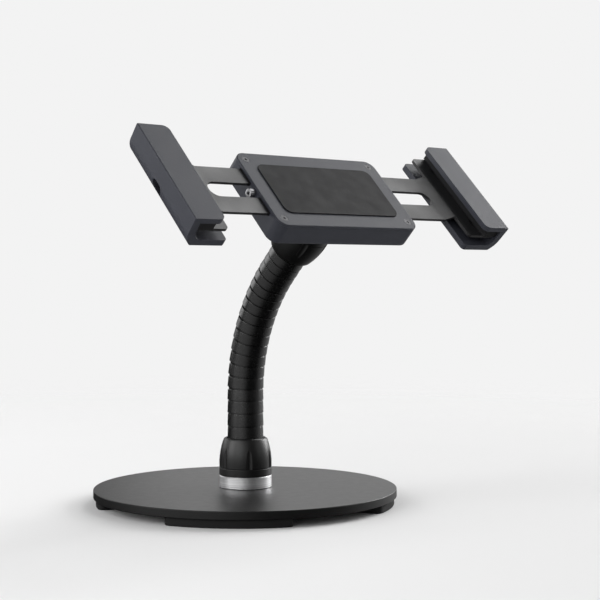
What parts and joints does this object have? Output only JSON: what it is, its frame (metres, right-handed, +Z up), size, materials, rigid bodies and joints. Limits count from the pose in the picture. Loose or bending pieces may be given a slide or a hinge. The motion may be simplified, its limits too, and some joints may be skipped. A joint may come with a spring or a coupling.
{
  "type": "tablet stand",
  "caption": "Countertop tablet stand: round weighted base, bendable ribbed neck with lock collars, and a holder whose two channel jaws close on the tablet's short edges.",
  "frame": {"origin": "on the counter, under the middle of the round base", "axes": "+Z up; the screen faces -Y and up; +X to the right as seen from in front, along the line the jaws slide on"},
  "size_m": [0.2864, 0.2453, 0.2675],
  "materials": {
    "plate": "fine satin powder coat on steel",
    "foot_rubber": "matt black rubber",
    "screw_steel": "zinc plated",
    "post_steel": "turned steel",
    "ring_aluminium": "bare, finely turned",
    "neck_plastic": "black, fine grain",
    "collar_plastic": "black, satin",
    "washer_plastic": "natural acetal",
    "fitting_aluminium": "black anodised",
    "wire_steel": "stranded wire with swaged ends",
    "shell_plastic": "charcoal, fine matt grain",
    "pad_rubber": "matt black rubber",
    "nut_brass": "machined",
    "arm_steel": "dark satin coat on sheet steel"
  },
  "bodies": {
    "base": {"base_plate": "plate", "foot_front_left": "foot_rubber", "foot_front_right": "foot_rubber", "foot_back_right": "foot_rubber", "foot_back_left": "foot_rubber", "foot_screws": "screw_steel", "centre_bolt": "screw_steel", "base_post": "post_steel", "base_ring": "ring_aluminium", "base_band": "neck_plastic"},
    "base_collar": {"base_collar": "collar_plastic"},
    "neck_foot": {"neck_foot": "fitting_aluminium", "base_washer": "washer_plastic", "tension_wire": "wire_steel"},
    "link_01": {"link_01": "neck_plastic"},
    "link_02": {"link_02": "neck_plastic"},
    "link_03": {"link_03": "neck_plastic"},
    "link_04": {"link_04": "neck_plastic"},
    "link_05": {"link_05": "neck_plastic"},
    "link_06": {"link_06": "neck_plastic"},
    "link_07": {"link_07": "neck_plastic"},
    "link_08": {"link_08": "neck_plastic"},
    "link_09": {"link_09": "neck_plastic"},
    "link_10": {"link_10": "neck_plastic"},
    "link_11": {"link_11": "neck_plastic"},
    "link_12": {"link_12": "neck_plastic"},
    "link_13": {"link_13": "neck_plastic"},
    "link_14": {"link_14": "neck_plastic"},
    "link_15": {"link_15": "neck_plastic"},
    "link_16": {"link_16": "neck_plastic"},
    "link_17": {"link_17": "neck_plastic"},
    "link_18": {"link_18": "neck_plastic"},
    "neck_head": {"neck_head": "fitting_aluminium", "head_washer": "washer_plastic"},
    "head_collar": {"head_collar": "collar_plastic"},
    "holder": {"head_post": "post_steel", "head_ring": "ring_aluminium", "head_band": "neck_plastic", "flange_screws": "screw_steel", "rear_housing": "shell_plastic", "front_cover": "shell_plastic", "cover_pad": "pad_rubber", "cover_screws": "screw_steel"},
    "slider_left": {"arm_left": "arm_steel", "nut_left": "nut_brass", "nut_screws_left": "screw_steel", "jaw_left": "shell_plastic", "jaw_liner_left": "pad_rubber", "jaw_screws_left": "screw_steel"},
    "slider_right": {"arm_right": "arm_steel", "nut_right": "nut_brass", "nut_screws_right": "screw_steel", "jaw_right": "shell_plastic", "jaw_liner_right": "pad_rubber", "jaw_screws_right": "screw_steel"},
    "width_screw": {"width_screw": "screw_steel", "screw_ring": "screw_steel"}
  },
  "joints": [
    {"name": "neck_swivel", "type": "hinge", "parent": "base", "child": "neck_foot", "pos_m": [0, 0, 0.012], "axis": [0, 0, 1], "range_deg": [-180, 180]},
    {"name": "base_collar_turn", "type": "hinge", "parent": "base", "child": "base_collar", "pos_m": [0, 0, 0.012], "axis": [0, 0, 1], "range_deg": [0, 90]},
    {"name": "neck_bend", "type": "hinge", "parent": "neck_foot", "child": "link_01", "pos_m": [0, 0, 0.0489], "axis": [1, 0, 0], "range_deg": [-2.69, 2.69], "deforming": ["tension_wire"]},
    {"name": "neck_bend_link_02", "type": "hinge", "parent": "link_01", "child": "link_02", "pos_m": [0, 0, 0.0588], "axis": [1, 0, 0], "range_deg": [-2.69, 2.69]},
    {"name": "neck_sway", "type": "hinge", "parent": "link_02", "child": "link_03", "pos_m": [0, 0, 0.06854], "axis": [0, 1, 0], "range_deg": [-3, 3], "deforming": ["tension_wire"]},
    {"name": "neck_bend_link_04", "type": "hinge", "parent": "link_03", "child": "link_04", "pos_m": [0, 0, 0.07813], "axis": [1, 0, 0], "range_deg": [-2.69, 2.69]},
    {"name": "neck_bend_link_05", "type": "hinge", "parent": "link_04", "child": "link_05", "pos_m": [0, -0.00014, 0.08756], "axis": [1, 0, 0], "range_deg": [-2.69, 2.69]},
    {"name": "neck_sway_link_06", "type": "hinge", "parent": "link_05", "child": "link_06", "pos_m": [0, -0.00095, 0.09681], "axis": [0, 0.9876, 0.1571], "range_deg": [-3, 3]},
    {"name": "neck_bend_link_07", "type": "hinge", "parent": "link_06", "child": "link_07", "pos_m": [0, -0.00238, 0.10581], "axis": [1, 0, 0], "range_deg": [-2.69, 2.69]},
    {"name": "neck_bend_link_08", "type": "hinge", "parent": "link_07", "child": "link_08", "pos_m": [0, -0.0044, 0.11455], "axis": [1, 0, 0], "range_deg": [-2.69, 2.69]},
    {"name": "neck_sway_link_09", "type": "hinge", "parent": "link_08", "child": "link_09", "pos_m": [0, -0.00696, 0.12297], "axis": [0, 0.9349, 0.3549], "range_deg": [-3, 3]},
    {"name": "neck_bend_link_10", "type": "hinge", "parent": "link_09", "child": "link_10", "pos_m": [0, -0.01004, 0.13106], "axis": [1, 0, 0], "range_deg": [-2.69, 2.69]},
    {"name": "neck_bend_link_11", "type": "hinge", "parent": "link_10", "child": "link_11", "pos_m": [0, -0.01357, 0.13879], "axis": [1, 0, 0], "range_deg": [-2.69, 2.69]},
    {"name": "neck_sway_link_12", "type": "hinge", "parent": "link_11", "child": "link_12", "pos_m": [0, -0.01752, 0.14614], "axis": [0, 0.8488, 0.5287], "range_deg": [-3, 3]},
    {"name": "neck_bend_link_13", "type": "hinge", "parent": "link_12", "child": "link_13", "pos_m": [0, -0.02185, 0.15308], "axis": [1, 0, 0], "range_deg": [-2.69, 2.69]},
    {"name": "neck_bend_link_14", "type": "hinge", "parent": "link_13", "child": "link_14", "pos_m": [0, -0.02651, 0.15962], "axis": [1, 0, 0], "range_deg": [-2.69, 2.69]},
    {"name": "neck_sway_link_15", "type": "hinge", "parent": "link_14", "child": "link_15", "pos_m": [0, -0.03146, 0.16574], "axis": [0, 0.7381, 0.6747], "range_deg": [-3, 3]},
    {"name": "neck_bend_link_16", "type": "hinge", "parent": "link_15", "child": "link_16", "pos_m": [0, -0.03667, 0.17144], "axis": [1, 0, 0], "range_deg": [-2.69, 2.69]},
    {"name": "neck_bend_link_17", "type": "hinge", "parent": "link_16", "child": "link_17", "pos_m": [0, -0.04202, 0.17678], "axis": [1, 0, 0], "range_deg": [-2.69, 2.69]},
    {"name": "neck_sway_link_18", "type": "hinge", "parent": "link_17", "child": "link_18", "pos_m": [0, -0.04725, 0.18202], "axis": [0, 0.7071, 0.7071], "range_deg": [-3, 3]},
    {"name": "neck_bend_neck_head", "type": "hinge", "parent": "link_18", "child": "neck_head", "pos_m": [0, -0.05238, 0.18715], "axis": [1, 0, 0], "range_deg": [-2.69, 2.69]},
    {"name": "head_roll", "type": "hinge", "parent": "neck_head", "child": "holder", "pos_m": [0, -0.07847, 0.21324], "axis": [0, -0.7071, 0.7071], "range_deg": [-90, 90]},
    {"name": "head_collar_turn", "type": "hinge", "parent": "holder", "child": "head_collar", "pos_m": [0, -0.07847, 0.21324], "axis": [0, -0.7071, 0.7071], "range_deg": [0, 90]},
    {"name": "jaw_slide_left", "type": "slide", "parent": "holder", "child": "slider_left", "axis": [-1, 0, 0], "range_m": [-0.024, 0.024]},
    {"name": "jaw_slide_right", "type": "slide", "parent": "holder", "child": "slider_right", "axis": [1, 0, 0], "range_m": [-0.024, 0.024]},
    {"name": "width_screw_turn", "type": "hinge", "parent": "holder", "child": "width_screw", "pos_m": [-0.064, -0.0895, 0.22427], "axis": [-1, 0, 0], "range_deg": [-2880.5, 2880.5]}
  ],
  "couplings": [
    {"joint": "neck_bend_link_02", "follows": "neck_bend", "ratio": 1},
    {"joint": "neck_bend_link_04", "follows": "neck_bend", "ratio": 1},
    {"joint": "neck_bend_link_05", "follows": "neck_bend", "ratio": 1},
    {"joint": "neck_sway_link_06", "follows": "neck_sway", "ratio": 1},
    {"joint": "neck_bend_link_07", "follows": "neck_bend", "ratio": 1},
    {"joint": "neck_bend_link_08", "follows": "neck_bend", "ratio": 1},
    {"joint": "neck_sway_link_09", "follows": "neck_sway", "ratio": 1},
    {"joint": "neck_bend_link_10", "follows": "neck_bend", "ratio": 1},
    {"joint": "neck_bend_link_11", "follows": "neck_bend", "ratio": 1},
    {"joint": "neck_sway_link_12", "follows": "neck_sway", "ratio": 1},
    {"joint": "neck_bend_link_13", "follows": "neck_bend", "ratio": 1},
    {"joint": "neck_bend_link_14", "follows": "neck_bend", "ratio": 1},
    {"joint": "neck_sway_link_15", "follows": "neck_sway", "ratio": 1},
    {"joint": "neck_bend_link_16", "follows": "neck_bend", "ratio": 1},
    {"joint": "neck_bend_link_17", "follows": "neck_bend", "ratio": 1},
    {"joint": "neck_sway_link_18", "follows": "neck_sway", "ratio": 1},
    {"joint": "neck_bend_neck_head", "follows": "neck_bend", "ratio": 1},
    {"joint": "jaw_slide_right", "follows": "jaw_slide_left", "ratio": 1},
    {"joint": "width_screw_turn", "follows": "jaw_slide_left", "rad_per_m": 2094.4}
  ]
}
